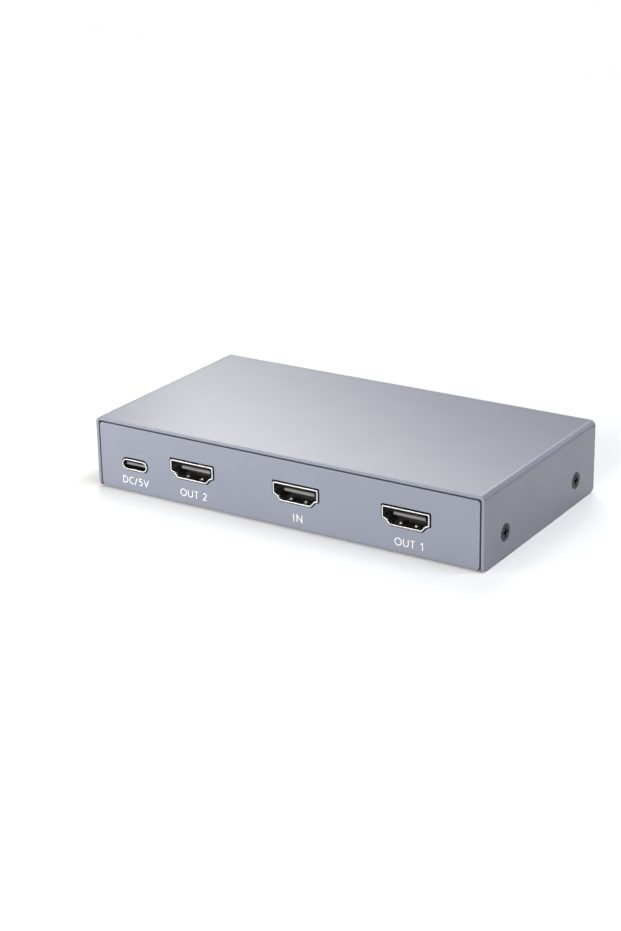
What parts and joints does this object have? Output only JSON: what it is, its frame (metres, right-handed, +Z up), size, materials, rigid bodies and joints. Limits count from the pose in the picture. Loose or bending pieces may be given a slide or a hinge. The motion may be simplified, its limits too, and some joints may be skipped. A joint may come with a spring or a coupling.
{
  "type": "hdmi splitter",
  "caption": "Free-standing video splitter in a blue-grey bent-sheet metal box, with its video sockets and an oval power inlet on one long side and black screws in the ends",
  "frame": {"origin": "middle of the underside that it rests on", "axes": "+X along the port panel to the right as the ports are faced, +Y from the ports to the rear panel, +Z up"},
  "size_m": [0.13, 0.0697, 0.0222],
  "materials": {
    "housing": "satin",
    "socket_shell": "bright",
    "insulator": "matte",
    "contact": "bright",
    "black_screw": "satin",
    "plain_steel": "satin",
    "board": "gloss",
    "chip": "matte",
    "tinned": "satin",
    "cooling": "satin",
    "pad": "matte",
    "ferrite": "matte",
    "ceramic_body": "matte",
    "lens": "clear"
  },
  "bodies": {
    "root": {"base_chassis": "housing", "top_cover": "housing", "cover_screws": "black_screw", "board_standoffs": "plain_steel", "circuit_board": "board", "board_screws": "plain_steel", "video_in_shell": "socket_shell", "video_in_insulator": "insulator", "video_in_contacts": "contact", "video_out_1_shell": "socket_shell", "video_out_1_insulator": "insulator", "video_out_1_contacts": "contact", "video_out_2_shell": "socket_shell", "video_out_2_insulator": "insulator", "video_out_2_contacts": "contact", "power_shell": "socket_shell", "power_insulator": "insulator", "power_contacts": "contact", "splitter_chip": "chip", "splitter_chip_leads": "tinned", "thermal_pad": "pad", "heat_sink": "cooling", "memory_chips": "chip", "memory_chip_leads": "tinned", "regulator_chip": "chip", "regulator_chip_leads": "tinned", "power_inductor": "ferrite", "filter_capacitors": "cooling", "capacitor_bases": "chip", "clock_crystal": "tinned", "protection_chips": "chip", "chip_capacitors": "ceramic_body", "chip_capacitor_ends": "tinned", "status_leds": "lens", "led_holders": "insulator", "led_leads": "tinned"}
  },
  "joints": []
}
